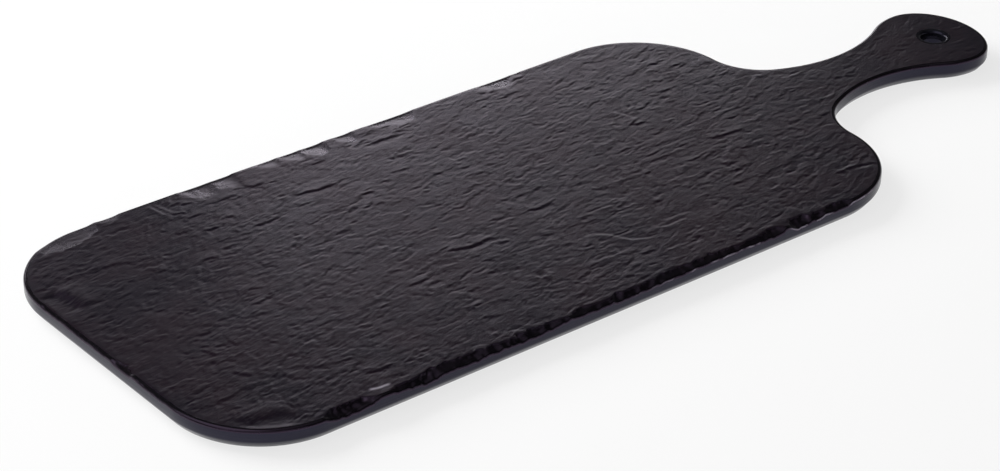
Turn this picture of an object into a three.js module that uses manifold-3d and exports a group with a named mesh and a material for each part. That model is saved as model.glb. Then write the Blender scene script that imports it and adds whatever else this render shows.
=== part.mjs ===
// A paddle-shaped serving board with a slate-like face: one black melamine moulding that includes the
// handle and its hanging hole. It stands on four silicone feet, each held in a round seat of the
// underside by a thin adhesive disc.
// Millimetres, +Z up. The table is the plane z = 0, the handle points along +X, and the origin lies
// under the middle of the whole length.

import * as THREE from "three";
import { mergeVertices, toCreasedNormals } from "three/addons/utils/BufferGeometryUtils.js";
import Module from "manifold-3d";

// Outline of the board, seen from above
const bodyLength = 398; // front edge to rear edge
const bodyWidth = 200;
const frontCornerRadius = 48;
const rearCornerRadius = 50;
const rootFilletRadius = 30; // hollow corner between the rear edge and the handle
const neckDistance = 51; // rear edge to the narrowest place of the handle
const neckWidth = 31;
const gripRadius = 78; // hollow flank of the handle, along the neck
const headWidth = 61;
const shoulderRadius = 36; // round flank of the head, up to its widest place
const headTipLength = 24.5; // widest place of the head to the tip

// Section through the edge
const boardThickness = 10; // serving face to rim
const wallHeight = 6; // serving face to the crease where the undercut starts
const edgeRoundRadius = 1.5; // along the serving face
const undercutInset = 3; // how far the undercut draws in between the crease and the rim
const rimChamfer = 0.6; // along the rim

// Hanging hole
const holeDiameter = 12.5;
const holeMouthRadius = 1.5; // rounding of both mouths
const holeTipDistance = 25; // tip of the handle to the middle of the hole

// Underside
const recessDepth = 3; // rim to the floor of the recess
const recessRimWidth = 12; // outline of the body to the mouth of the recess
const recessCornerRadius = 36;
const recessDraft = 1.5; // how far the wall of the recess leans in
const seatDepth = 1; // floor of the recess to the floor of a foot's seat

// Feet
const rimHeight = 2; // table to rim
const footDiameter = 18;
const footEndInset = 36; // front and rear edge to the middle of a foot
const footSideInset = 30; // long edge to the middle of a foot
const footSoleRadius = 1.5; // rounding round the sole
const soleDishDiameter = 8; // shallow dish in the middle of the sole
const soleDishDepth = 0.5;
const seatClearance = 0.3; // gap all round between a foot and its seat
const discThickness = 0.5;
const discMargin = 1; // edge of a foot's bond face to the edge of its disc

// Fineness of the round stretches
const outlineStep = THREE.MathUtils.degToRad(6);
const edgeRoundSteps = 4;
const roundSegments = 40;
const creaseAngle = THREE.MathUtils.degToRad(30);
const overshoot = 1; // how far a cutter reaches past the face that it opens

// Heights above the table
const faceZ = rimHeight + boardThickness;
const creaseZ = faceZ - wallHeight;
const recessZ = rimHeight + recessDepth;
const seatZ = recessZ + seatDepth;
const footHeight = seatZ - discThickness;

// Places along the length. The neck's hollow arc touches the head's round arc, which sets how far the
// head's widest place lies beyond the neck.
const headFlare = (headWidth - neckWidth) / 2;
const headRise = Math.sqrt(headFlare * (2 * (gripRadius + shoulderRadius) - headFlare));
const wholeLength = bodyLength + neckDistance + headRise + headTipLength;
const frontX = -wholeLength / 2;
const rearX = frontX + bodyLength;
const neckX = rearX + neckDistance;
const headX = neckX + headRise;
const tipX = headX + headTipLength;
const sideY = bodyWidth / 2;

// Centres of the arcs on the flank with y < 0
const frontCorner = new THREE.Vector2(frontX + frontCornerRadius, frontCornerRadius - sideY);
const rearCorner = new THREE.Vector2(rearX - rearCornerRadius, rearCornerRadius - sideY);
const grip = new THREE.Vector2(neckX, -neckWidth / 2 - gripRadius);
const shoulder = new THREE.Vector2(headX, shoulderRadius - headWidth / 2);
const head = new THREE.Vector2(headX, 0);

// The root fillet touches the line of the rear edge, and the neck's arc from inside
const rootReach = gripRadius - rootFilletRadius;
const rootRise = Math.sqrt(rootReach ** 2 - (neckDistance - rootFilletRadius) ** 2);
const rootFillet = new THREE.Vector2(rearX + rootFilletRadius, grip.y + rootRise);

// Directions of the places where neighbouring arcs meet, each seen from an arc's centre. A straight
// stretch that touches both arcs joins the rear corner to the root fillet.
const quarterTurn = Math.PI / 2;
const rearSpan = rootFillet.clone().sub(rearCorner);
const rearLean = Math.acos(Math.min(1, (rearCornerRadius + rootFilletRadius) / rearSpan.length()));
const rearTurn = Math.atan2(rearSpan.y, rearSpan.x) - rearLean;
const gripStart = Math.atan2(rootFillet.y - grip.y, rootFillet.x - grip.x);
const gripEnd = Math.atan2(shoulder.y - grip.y, shoulder.x - grip.x);

const materials = {
  melamine: new THREE.MeshStandardMaterial({ color: 0x3a3739, roughness: 0.45, metalness: 0 }),
  silicone: new THREE.MeshStandardMaterial({ color: 0x1d1d1f, roughness: 0.75, metalness: 0 }),
  adhesive: new THREE.MeshStandardMaterial({ color: 0xcfcabb, roughness: 0.6, metalness: 0 }),
};

const wasm = await Module();
wasm.setup();

// Points along an arc, turning clockwise where the end angle is the smaller one
function arcPoints(centre, radiusX, radiusY, from, to) {
  const steps = Math.max(2, Math.ceil(Math.abs(to - from) / outlineStep));
  const curve = new THREE.EllipseCurve(centre.x, centre.y, radiusX, radiusY, from, to, to < from);
  return curve.getPoints(steps);
}

// The board's outline drawn in by an inset, anticlockwise from the front edge. Round arcs shrink by the
// inset and hollow arcs grow by it, so every inset gives the same number of points.
function boardOutline(inset) {
  const frontRadius = frontCornerRadius - inset;
  const rearRadius = rearCornerRadius - inset;
  const rootRadius = rootFilletRadius + inset;
  const neckRadius = gripRadius + inset;
  const flankRadius = shoulderRadius - inset;
  const tipReach = headTipLength - inset;
  const tipWidth = headWidth / 2 - inset;
  const flank = [
    ...arcPoints(frontCorner, frontRadius, frontRadius, -Math.PI, -quarterTurn),
    ...arcPoints(rearCorner, rearRadius, rearRadius, -quarterTurn, rearTurn),
    ...arcPoints(rootFillet, rootRadius, rootRadius, rearTurn + Math.PI, gripStart),
    ...arcPoints(grip, neckRadius, neckRadius, gripStart, gripEnd).slice(1),
    ...arcPoints(shoulder, flankRadius, flankRadius, gripEnd - Math.PI, -quarterTurn).slice(1),
    ...arcPoints(head, tipReach, tipWidth, -quarterTurn, 0).slice(1),
  ];
  const mirrored = flank.slice(0, -1).reverse().map((point) => new THREE.Vector2(point.x, -point.y));
  return [...flank, ...mirrored];
}

// The mouth of the recess drawn in by an inset, anticlockwise
function recessOutline(inset) {
  const radius = recessCornerRadius - inset;
  const reach = recessRimWidth + recessCornerRadius;
  const corners = [
    { centre: new THREE.Vector2(frontX + reach, reach - sideY), from: -Math.PI },
    { centre: new THREE.Vector2(rearX - reach, reach - sideY), from: -quarterTurn },
    { centre: new THREE.Vector2(rearX - reach, sideY - reach), from: 0 },
    { centre: new THREE.Vector2(frontX + reach, sideY - reach), from: quarterTurn },
  ];
  return corners.flatMap(({ centre, from }) => arcPoints(centre, radius, radius, from, from + quarterTurn));
}

// A closed skin through level rings, from the lowest to the highest, with a flat cap at both ends
function loft(outline, rings) {
  const level = (point, z) => new THREE.Vector3(point.x, point.y, z);
  const loops = rings.map(({ inset, z }) => outline(inset).map((point) => level(point, z)));
  const count = loops[0].length;
  const index = [];
  for (let ring = 0; ring + 1 < rings.length; ring += 1) {
    for (let i = 0; i < count; i += 1) {
      const next = (i + 1) % count;
      const low = ring * count;
      const high = low + count;
      index.push(low + i, low + next, high + next);
      index.push(low + i, high + next, high + i);
    }
  }
  const top = (rings.length - 1) * count;
  const lowCap = THREE.ShapeUtils.triangulateShape(loops[0], []);
  const highCap = THREE.ShapeUtils.triangulateShape(loops.at(-1), []);
  lowCap.forEach(([a, b, c]) => index.push(c, b, a));
  highCap.forEach(([a, b, c]) => index.push(top + a, top + b, top + c));
  const geometry = new THREE.BufferGeometry().setFromPoints(loops.flat());
  geometry.setIndex(index);
  return geometry;
}

// A solid turned about the Z axis from a profile of [radius, height] points, lowest first
function turned(profile) {
  const points = profile.map(([radius, height]) => new THREE.Vector2(radius, height));
  return new THREE.LatheGeometry(points, roundSegments).rotateX(Math.PI / 2);
}

function toSolid(geometry) {
  const bare = geometry.clone();
  bare.deleteAttribute("normal");
  bare.deleteAttribute("uv");
  const merged = mergeVertices(bare);
  const vertProperties = merged.attributes.position.array;
  const triVerts = new Uint32Array(merged.index.array);
  return new wasm.Manifold(new wasm.Mesh({ numProp: 3, vertProperties, triVerts }));
}

function toGeometry(solid) {
  const { vertProperties, triVerts } = solid.getMesh();
  const geometry = new THREE.BufferGeometry();
  geometry.setAttribute("position", new THREE.BufferAttribute(vertProperties, 3));
  geometry.setIndex(new THREE.BufferAttribute(triVerts, 1));
  return toCreasedNormals(geometry, creaseAngle);
}

// A quarter round as [across, up] shares of its radius, from its foot to its top
function quarterRound(steps) {
  return Array.from({ length: steps + 1 }, (_, step) => {
    const angle = (step / steps) * quarterTurn;
    return [1 - Math.cos(angle), Math.sin(angle)];
  });
}

// The moulding before its cuts: rim, undercut, upright wall and rounded serving edge
function boardBlank() {
  const slope = undercutInset / (boardThickness - wallHeight);
  const rimRings = [
    { inset: undercutInset + rimChamfer, z: rimHeight },
    { inset: undercutInset - slope * rimChamfer, z: rimHeight + rimChamfer },
  ];
  const edgeRings = quarterRound(edgeRoundSteps).map(([across, up]) => ({
    inset: across * edgeRoundRadius,
    z: faceZ - edgeRoundRadius + up * edgeRoundRadius,
  }));
  return loft(boardOutline, [...rimRings, { inset: 0, z: creaseZ }, ...edgeRings]);
}

function recessCutter() {
  return loft(recessOutline, [
    { inset: 0, z: rimHeight - overshoot },
    { inset: 0, z: rimHeight },
    { inset: recessDraft, z: recessZ },
  ]);
}

// Clears a foot all the way up from below the rim to the floor of its seat
function seatCutter({ x, y }) {
  const radius = footDiameter / 2 + seatClearance;
  const lowZ = rimHeight - overshoot;
  return turned([[0, lowZ], [radius, lowZ], [radius, seatZ], [0, seatZ]]).translate(x, y, 0);
}

function holeCutter() {
  const radius = holeDiameter / 2;
  const mouth = quarterRound(edgeRoundSteps);
  const upper = mouth.map(([across, up]) => [
    radius + across * holeMouthRadius,
    faceZ - holeMouthRadius + up * holeMouthRadius,
  ]);
  const lower = upper.map(([across, z]) => [across, rimHeight + faceZ - z]).reverse();
  const wide = radius + holeMouthRadius;
  const lowZ = rimHeight - overshoot;
  const highZ = faceZ + overshoot;
  const profile = [[0, lowZ], [wide, lowZ], ...lower, ...upper, [wide, highZ], [0, highZ]];
  return turned(profile).translate(tipX - holeTipDistance, 0, 0);
}

const footPlaces = [
  { name: "front_left", x: frontX + footEndInset, y: sideY - footSideInset },
  { name: "front_right", x: frontX + footEndInset, y: footSideInset - sideY },
  { name: "rear_left", x: rearX - footEndInset, y: sideY - footSideInset },
  { name: "rear_right", x: rearX - footEndInset, y: footSideInset - sideY },
];

function makeBoard() {
  const cutters = [recessCutter(), holeCutter(), ...footPlaces.map(seatCutter)];
  const solid = cutters.reduce((rest, cutter) => rest.subtract(toSolid(cutter)), toSolid(boardBlank()));
  const board = new THREE.Mesh(toGeometry(solid), materials.melamine);
  board.name = "board";
  return board;
}

// A foot stands on its sole at z = 0, and its bond face is its flat top
function makeFoot(name) {
  const radius = footDiameter / 2;
  const dishRadius = soleDishDiameter / 2;
  const soleEdge = quarterRound(edgeRoundSteps).reverse().map(([across, up]) => [
    radius - across * footSoleRadius,
    footSoleRadius - up * footSoleRadius,
  ]);
  const dish = [[0, soleDishDepth], [dishRadius - soleDishDepth, soleDishDepth], [dishRadius, 0]];
  const profile = [...dish, ...soleEdge, [radius, footHeight], [0, footHeight]];
  const foot = new THREE.Mesh(turned(profile), materials.silicone);
  foot.name = `foot_${name}`;
  return foot;
}

function makeDisc(name) {
  const radius = footDiameter / 2 - discMargin;
  const geometry = turned([[0, 0], [radius, 0], [radius, discThickness], [0, discThickness]]);
  const disc = new THREE.Mesh(geometry, materials.adhesive);
  disc.name = `adhesive_disc_${name}`;
  disc.position.z = footHeight;
  return disc;
}

const servingBoard = new THREE.Group();
servingBoard.name = "serving_board";
servingBoard.add(makeBoard());
footPlaces.forEach(({ name, x, y }) => {
  const place = new THREE.Group();
  place.position.set(x, y, 0);
  place.add(makeFoot(name), makeDisc(name));
  servingBoard.add(place);
});

export default servingBoard;
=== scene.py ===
"""Looks of a paddle-shaped serving board with a slate-like face.

The board is one compression-moulded piece of black melamine: a riven face, a polished edge with an
undercut, a waisted handle with a hanging hole, and a recessed underside. It stands on four silicone
feet, each bonded into its seat by a disc of acrylic film. Sizes are millimetres in the object's own
frame, with the handle along +X and the table at z = 0. Lamps, the floor and the camera are in metres.
"""

import logging
import math
from dataclasses import dataclass, field
from enum import Enum, IntEnum
from itertools import product
from typing import Callable, Sequence

import bpy
import numpy as np
from mathutils import Matrix, Vector
from mathutils.geometry import delaunay_2d_cdt
from mathutils.kdtree import KDTree


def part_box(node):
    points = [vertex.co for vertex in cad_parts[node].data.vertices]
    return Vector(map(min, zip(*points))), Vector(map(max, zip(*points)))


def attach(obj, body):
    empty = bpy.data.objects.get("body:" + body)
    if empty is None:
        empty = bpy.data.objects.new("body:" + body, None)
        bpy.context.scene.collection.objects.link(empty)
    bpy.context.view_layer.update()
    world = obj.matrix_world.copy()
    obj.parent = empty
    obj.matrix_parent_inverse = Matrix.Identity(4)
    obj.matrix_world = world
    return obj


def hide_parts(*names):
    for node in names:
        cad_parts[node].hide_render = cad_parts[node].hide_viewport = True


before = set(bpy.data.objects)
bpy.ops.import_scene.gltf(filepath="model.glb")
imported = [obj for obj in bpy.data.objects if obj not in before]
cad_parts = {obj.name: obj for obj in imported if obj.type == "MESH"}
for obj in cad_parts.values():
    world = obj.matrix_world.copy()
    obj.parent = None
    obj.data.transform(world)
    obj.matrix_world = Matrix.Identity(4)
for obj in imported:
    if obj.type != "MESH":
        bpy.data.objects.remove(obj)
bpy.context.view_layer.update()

MM = 0.001
QUARTER = math.pi / 2
LOG = logging.getLogger("serving_board")

# In a filled area, points closer than this are one, and triangles with less doubled area are left out
SNAP = 1e-6
SLIVER = 1e-7

# Large odd numbers that mix a lattice point and a seed into a random number
HASH_STEPS = [np.uint32(step) for step in (374761393, 668265263, 1274126177, 2246822519)]
HASH_SEED_STEP = 974711

# Each layer of noise is this much finer and weaker than the one before it
LAYER_FINER = 2.03
LAYER_WEAKER = 1.9
LAYER_SEED_STEP = 17

# How much a plate's own level and its tilt count
PLATE_LEVEL = 0.5
PLATE_LEAN = 0.8

Plan = tuple[float, float]
Levels = float | np.ndarray
Chooser = Callable[[np.ndarray], np.ndarray]
Section = Callable[[float, float, float], list[Plan]]


class Seed(IntEnum):
    """Seeds of the noise in the relief and along the edge; each flake and chip adds its own to BREAK."""

    BEND_X = 5
    BEND_Y = 6
    RIPPLE = 11
    WRINKLE = 23
    RAGGED_X = 31
    RAGGED_Y = 32
    CREASE = 41
    PLATE = 51
    SWELL = 71
    BUSY = 81
    BREAK = 300
    GLOSS = 401
    # Breaks up the painted glints on the right arris
    ARRIS_GLINT = 402


# Small helpers


def linear(hex_colour: str) -> tuple[float, float, float, float]:
    """Turns an sRGB hex colour into linear RGBA.

    Args:
        hex_colour: six hex digits, such as "2b282c".

    Returns:
        The linear colour with an alpha of 1.
    """
    channels = [int(hex_colour[i : i + 2], 16) / 255 for i in (0, 2, 4)]
    red, green, blue = (c / 12.92 if c <= 0.04045 else ((c + 0.055) / 1.055) ** 2.4 for c in channels)
    return red, green, blue, 1.0


def per_metre(size_mm: float) -> float:
    """Gives a texture scale, in cells per metre, for a pattern of the given size in millimetres."""
    return 1 / (size_mm * MM)


def smooth(low: float, high: float, value: np.ndarray) -> np.ndarray:
    """Eases from 0 at low to 1 at high.

    Args:
        low: where the ramp starts.
        high: where the ramp ends, on either side of its start.
        value: numbers to ease.

    Returns:
        The eased numbers, from 0 to 1.
    """
    share = np.clip((value - low) / (high - low), 0, 1)
    return share * share * (3 - 2 * share)


def add_node(
    tree: bpy.types.NodeTree, kind: str, settings: dict | None = None, **links: bpy.types.NodeSocket
) -> bpy.types.Node:
    """Adds a shader node, sets it up and links its inputs.

    Args:
        tree: the node tree.
        kind: the node's type name after "ShaderNode", such as "TexNoise".
        settings: properties of the node, and values for its inputs by name or number.
        links: output sockets by input name, with _ for a space, or by number, such as input6.

    Returns:
        The new node.
    """
    node = tree.nodes.new(f"ShaderNode{kind}")
    for key, value in (settings or {}).items():
        if isinstance(key, int) or key in node.inputs:
            node.inputs[key].default_value = value
        else:
            setattr(node, key, value)
    for key, socket in links.items():
        name = key.replace("_", " ")
        tree.links.new(socket, node.inputs[int(name[5:]) if name.startswith("input") else name])
    return node


def set_stops(ramp: bpy.types.ColorRamp, *stops: tuple[float, Sequence[float]]) -> None:
    """Sets the stops of a new colour ramp.

    Args:
        ramp: the ramp, which starts with two stops.
        stops: the place and the linear colour of each stop, in order.
    """
    for number, (place, colour) in enumerate(stops):
        stop = ramp.elements[number] if number < 2 else ramp.elements.new(place)
        stop.position = place
        stop.color = colour


# Noise that is the same at every run


def lattice_hash(column: np.ndarray, row: np.ndarray, seed: int) -> np.ndarray:
    """Gives each lattice point a fixed random number.

    Args:
        column: whole numbers along the first axis.
        row: whole numbers along the second axis.
        seed: picks another set of numbers.

    Returns:
        Numbers from 0 to 1.
    """
    mixed = column.astype(np.int64).astype(np.uint32) * HASH_STEPS[0]
    mixed = mixed + row.astype(np.int64).astype(np.uint32) * HASH_STEPS[1]
    mixed = mixed + np.uint32(seed * HASH_SEED_STEP % 2**32)
    mixed = (mixed ^ (mixed >> np.uint32(13))) * HASH_STEPS[2]
    mixed = (mixed ^ (mixed >> np.uint32(15))) * HASH_STEPS[3]
    return (mixed ^ (mixed >> np.uint32(16))) / 2.0**32


def gradient_noise(cells: np.ndarray, seed: int) -> np.ndarray:
    """Smooth noise with one swell per unit cell.

    Args:
        cells: places in plan, one row each, counted in cells.
        seed: picks another pattern.

    Returns:
        Numbers from about -0.7 to 0.7.
    """
    corner = np.floor(cells)
    part = cells - corner
    ease = part**3 * (part * (part * 6 - 15) + 10)
    swells = []
    for step in ((0, 0), (1, 0), (0, 1), (1, 1)):
        turn = 2 * math.pi * lattice_hash(*(corner + step).T, seed)
        across, up = (part - step).T
        swells.append(np.cos(turn) * across + np.sin(turn) * up)
    lower = swells[0] + ease[:, 0] * (swells[1] - swells[0])
    upper = swells[2] + ease[:, 0] * (swells[3] - swells[2])
    return lower + ease[:, 1] * (upper - lower)


def layered_noise(cells: np.ndarray, seed: int, layers: int) -> np.ndarray:
    """Adds ever finer and weaker layers of gradient noise.

    Args:
        cells: places in plan, one row each, counted in cells of the coarsest layer.
        seed: picks another pattern.
        layers: how many layers to add.

    Returns:
        Numbers from about -1 to 1.
    """
    total = np.zeros(len(cells))
    for layer in range(layers):
        swells = gradient_noise(cells * LAYER_FINER**layer, seed + LAYER_SEED_STEP * layer)
        total += swells / LAYER_WEAKER**layer
    return total


def plate_noise(cells: np.ndarray, seed: int) -> np.ndarray:
    """Splits the plane into ragged plates, each with its own level and tilt.

    Args:
        cells: places in plan, one row each, counted in plates.
        seed: picks another pattern.

    Returns:
        The height of the nearest plate, from about -1 to 1.
    """
    corner = np.floor(cells)
    nearest = np.full(len(cells), np.inf)
    height = np.zeros(len(cells))
    for step in product((-1, 0, 1), repeat=2):
        cell = corner + step
        draws = [lattice_hash(*cell.T, seed + number) for number in range(5)]
        level, lean_x, lean_y = (2 * draw - 1 for draw in draws[2:])
        off_x, off_y = cell.T + draws[:2] - cells.T
        reach = np.hypot(off_x, off_y)
        tilted = PLATE_LEVEL * level + PLATE_LEAN * (lean_x * off_x + lean_y * off_y)
        height = np.where(reach < nearest, tilted, height)
        nearest = np.minimum(nearest, reach)
    return height


# Meshes


class MeshBuilder:
    """Collects points and faces in millimetres, and makes one object of them."""

    def __init__(self) -> None:
        """Starts with no points and no faces."""
        self.points: list[np.ndarray] = []
        self.marks: dict[str, list[np.ndarray]] = {"polish": [], "painted_light": []}
        self.faces: list[tuple[np.ndarray, int]] = []
        self.count = 0

    def add_points(
        self, places: np.ndarray, z: Levels, polish: Levels = 0.0, painted_light: Levels = 0.0
    ) -> np.ndarray:
        """Adds points.

        Args:
            places: their places in plan, one row each.
            z: their heights, one for all or one each, as are the next two.
            polish: 0 where the surface is riven and 1 where it is polished.
            painted_light: 1 where a pale colour paints light, as glints and on the lit side of chips.

        Returns:
            The numbers of the new points.
        """
        count = len(places)
        self.points.append(np.column_stack([places, np.broadcast_to(z, count)]))
        self.marks["polish"].append(np.broadcast_to(polish, count))
        self.marks["painted_light"].append(np.broadcast_to(painted_light, count))
        self.count += count
        return np.arange(self.count - count, self.count)

    def add_faces(self, faces: np.ndarray, finish: int = 0) -> None:
        """Adds triangles or quads, as rows of point numbers, with the number of their finish."""
        self.faces.append((faces, finish))

    def plan(self, numbers: np.ndarray) -> np.ndarray:
        """Gives the places in plan of points, by their numbers."""
        return np.concatenate(self.points)[numbers, :2]

    def bridge(self, upper: np.ndarray, lower: np.ndarray, finish: int = 0) -> None:
        """Joins two closed rings, anticlockwise from above, by a band that faces outwards.

        Args:
            upper: point numbers of the upper ring.
            lower: point numbers of the lower ring.
            finish: the number of the band's finish.
        """
        self.add_faces(np.column_stack([lower, np.roll(lower, -1), np.roll(upper, -1), upper]), finish)

    def cap(self, ring: np.ndarray, z: float, upward: bool, finish: int = 0) -> None:
        """Closes a ring by a fan round its middle.

        Args:
            ring: point numbers of the ring, anticlockwise from above.
            z: height of the middle.
            upward: whether the fan faces up.
            finish: the number of the fan's finish.
        """
        middle = self.add_points(self.plan(ring).mean(axis=0, keepdims=True), z)
        fan = np.column_stack([ring, np.roll(ring, -1), np.full(len(ring), middle[0])])
        self.add_faces(fan if upward else fan[:, ::-1], finish)

    def build(self, name: str, finishes: Sequence[bpy.types.Material], crease_deg: float) -> bpy.types.Object:
        """Makes the object, smooth-shaded apart from its sharp creases.

        Args:
            name: the object's name.
            finishes: its materials, in the order of the faces' finish numbers.
            crease_deg: the angle above which an edge stays sharp.

        Returns:
            The new object.
        """
        mesh = bpy.data.meshes.new(name)
        points = np.concatenate(self.points) * MM
        corners = np.concatenate([faces.ravel() for faces, _ in self.faces])
        sides = np.concatenate([np.full(len(faces), faces.shape[1]) for faces, _ in self.faces])
        finish = np.concatenate([np.full(len(faces), number) for faces, number in self.faces])
        mesh.vertices.add(len(points))
        mesh.vertices.foreach_set("co", points.astype(np.float32).ravel())
        mesh.loops.add(len(corners))
        mesh.loops.foreach_set("vertex_index", corners.astype(np.int32))
        mesh.polygons.add(len(sides))
        mesh.polygons.foreach_set("loop_start", (np.cumsum(sides) - sides).astype(np.int32))
        mesh.polygons.foreach_set("material_index", finish.astype(np.int32))
        for mark, levels in self.marks.items():
            layer = mesh.attributes.new(mark, "FLOAT", "POINT")
            layer.data.foreach_set("value", np.concatenate(levels).astype(np.float32))
        for material in finishes:
            mesh.materials.append(material)
        mesh.update(calc_edges=True)
        mesh.validate()
        mesh.shade_smooth()
        mesh.set_sharp_from_angle(angle=math.radians(crease_deg))
        piece = bpy.data.objects.new(name, mesh)
        bpy.context.scene.collection.objects.link(piece)
        return piece


def stand_for(piece: bpy.types.Object, node: str) -> bpy.types.Object:
    """Puts a piece in the place of a CAD node.

    Args:
        piece: the piece.
        node: the node's name.

    Returns:
        The piece.
    """
    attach(piece, "root")
    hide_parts(node)
    return piece


def circle(centre: Plan, radius: float, count: int) -> np.ndarray:
    """Gives points round a circle, anticlockwise.

    Args:
        centre: the circle's middle, in plan.
        radius: its radius.
        count: how many points.

    Returns:
        One row for each point.
    """
    turn = np.arange(count) * 2 * math.pi / count
    return np.column_stack([centre[0] + radius * np.cos(turn), centre[1] + radius * np.sin(turn)])


def fill_area(
    mesh: MeshBuilder, rings: Sequence[np.ndarray], border: np.ndarray, keep: Chooser
) -> np.ndarray:
    """Fills an area between closed rings and other border edges with triangles that face up.

    Args:
        mesh: where the points are.
        rings: the point numbers of each ring, in order round it.
        border: pairs of point numbers, one row for each other edge.
        keep: says which triangles stay, from their middles.

    Returns:
        Rows of point numbers.
    """
    loops = [np.column_stack([ring, np.roll(ring, -1)]) for ring in rings]
    pairs = np.concatenate([border, *loops])
    numbers, edges = np.unique(pairs, return_inverse=True)
    places = mesh.plan(numbers)
    edge_list = edges.reshape(pairs.shape).tolist()
    made = delaunay_2d_cdt([Vector(place) for place in places], edge_list, [], 0, SNAP)
    triangles = np.array([corners for corners in made[2] if len(corners) == 3])
    sources = np.array([origins[0] for origins in made[3]])
    corners = places[sources[triangles]]
    side_a, side_b = corners[:, 1] - corners[:, 0], corners[:, 2] - corners[:, 0]
    area = side_a[:, 0] * side_b[:, 1] - side_a[:, 1] * side_b[:, 0]
    triangles[area < 0] = triangles[area < 0][:, ::-1]
    kept = keep(corners.mean(axis=1)) & (np.abs(area) > SLIVER)
    return numbers[sources[triangles[kept]]]


# Finishes


@dataclass(frozen=True)
class Finish:
    """What every finish has: a name for its material, and nodes that end in a shader."""

    title: str

    def shader(self, tree: bpy.types.NodeTree) -> bpy.types.NodeSocket:
        """Adds the finish's nodes.

        Args:
            tree: the material's node tree.

        Returns:
            The output of the finish's shader.
        """
        raise NotImplementedError

    def material(self) -> bpy.types.Material:
        """Makes the material.

        Returns:
            The material, with the finish's shader on its surface.
        """
        made = bpy.data.materials.new(self.title)
        made.use_nodes = True
        made.node_tree.nodes.clear()
        add_node(made.node_tree, "OutputMaterial", Surface=self.shader(made.node_tree))
        return made


@dataclass(frozen=True)
class SlateLookMelamine(Finish):
    """Compression-moulded melamine with a riven-slate face and a polished edge.

    A hard filled resin, black all through. The face came out of a mould that was cast from split
    stone, so the eye gets a satin sheen that breaks up over ripples and flakes, with a faint violet
    and grey mottle. The rounded edge and the flaked facets are polished. A pale colour paints light:
    glints along the rear of the right arris, a glint line on a front flake, and the lit side of the
    chips along the left edge. The grain is as coarse as it needs to show, because a pixel covers
    about half a millimetre.
    """

    title: str = "melamine_slate_look"
    graphite: str = "110f15"
    plum: str = "160f14"
    wall: str = "0c0b0d"
    painted_light_colour: str = "a29ca8"
    sheen_tint: str = "eecdff"
    ior: float = 1.55
    colour_stops: Plan = (0.4, 0.6)
    face_roughness: Plan = (0.3, 0.4)
    wall_roughness: float = 0.16
    mottle_mm: float = 25.0
    speck_mm: float = 1.6
    speck_share: float = 0.25
    grain_mm: float = 0.8
    grain_stretch: float = 4.0
    grain_heading: float = 0.2
    grain_depth_mm: float = 0.14
    flow_mm: float = 9.0
    flow_depth_mm: float = 0.012

    def shader(self, tree: bpy.types.NodeTree) -> bpy.types.NodeSocket:
        """Adds the finish's nodes.

        Args:
            tree: the material's node tree.

        Returns:
            The output of the finish's shader.
        """
        place = add_node(tree, "TexCoord").outputs["Object"]
        polish = add_node(tree, "Attribute", {"attribute_name": "polish"}).outputs["Fac"]
        painted_light = add_node(tree, "Attribute", {"attribute_name": "painted_light"}).outputs["Fac"]

        # Colour: broad violet-grey mottle with small specks, plain black where polished, and a pale colour
        # that paints light: glints and the lit side of chips
        broad = {"Scale": per_metre(self.mottle_mm), "Detail": 3.0, "Roughness": 0.6}
        mottle = add_node(tree, "TexNoise", broad, Vector=place).outputs[0]
        small = {"Scale": per_metre(self.speck_mm), "Detail": 2.0, "Roughness": 0.5}
        speck = add_node(tree, "TexNoise", small, Vector=place).outputs[0]
        specked = {"data_type": "FLOAT", "Factor": self.speck_share}
        blend = add_node(tree, "Mix", specked, A=mottle, B=speck).outputs[0]
        stone = add_node(tree, "ValToRGB", Fac=blend)
        set_stops(stone.color_ramp, *zip(self.colour_stops, (linear(self.graphite), linear(self.plum))))
        colour = stone.outputs["Color"]
        # The second mix paints light: a pale colour for glints and for the lit side of the chips
        for share, over in ((polish, self.wall), (painted_light, self.painted_light_colour)):
            settings = {"data_type": "RGBA", 7: linear(over)}
            colour = add_node(tree, "Mix", settings, Factor=share, input6=colour).outputs[2]

        # Roughness: satin on the face, uneven as split stone is, and glossy where polished
        low, high = self.face_roughness
        spread = {"From Min": 0.3, "From Max": 0.7, "To Min": low, "To Max": high}
        satin = add_node(tree, "MapRange", spread, Value=blend).outputs["Result"]
        gloss = {"data_type": "FLOAT", "B": self.wall_roughness}
        rough = add_node(tree, "Mix", gloss, Factor=polish, A=satin).outputs[0]

        # Bump: grain finer than the mesh, drawn out along the board and gone where polished, over a soft flow
        drawn = {"Rotation": (0.0, 0.0, self.grain_heading), "Scale": (self.grain_stretch, 1.0, 1.0)}
        along = add_node(tree, "Mapping", {"vector_type": "TEXTURE", **drawn}, Vector=place).outputs["Vector"]
        fine = {"Scale": per_metre(self.grain_mm), "Detail": 3.0, "Roughness": 0.62}
        grain = add_node(tree, "TexNoise", fine, Vector=along).outputs[0]
        rest = {"operation": "SUBTRACT", 0: 1.0, "use_clamp": True}
        riven = add_node(tree, "Math", rest, input1=polish).outputs["Value"]
        depth = {"Distance": self.grain_depth_mm * MM}
        bump = add_node(tree, "Bump", depth, Height=grain, Strength=riven).outputs["Normal"]
        wide = {"Scale": per_metre(self.flow_mm), "Detail": 1.0}
        flow = add_node(tree, "TexNoise", wide, Vector=along).outputs[0]
        depth = {"Distance": self.flow_depth_mm * MM, "Strength": 1.0}
        bump = add_node(tree, "Bump", depth, Height=flow, Normal=bump).outputs["Normal"]

        settings = {"IOR": self.ior, "Specular Tint": linear(self.sheen_tint)}
        made = add_node(tree, "BsdfPrincipled", settings, Base_Color=colour, Roughness=rough, Normal=bump)
        return made.outputs["BSDF"]


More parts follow.
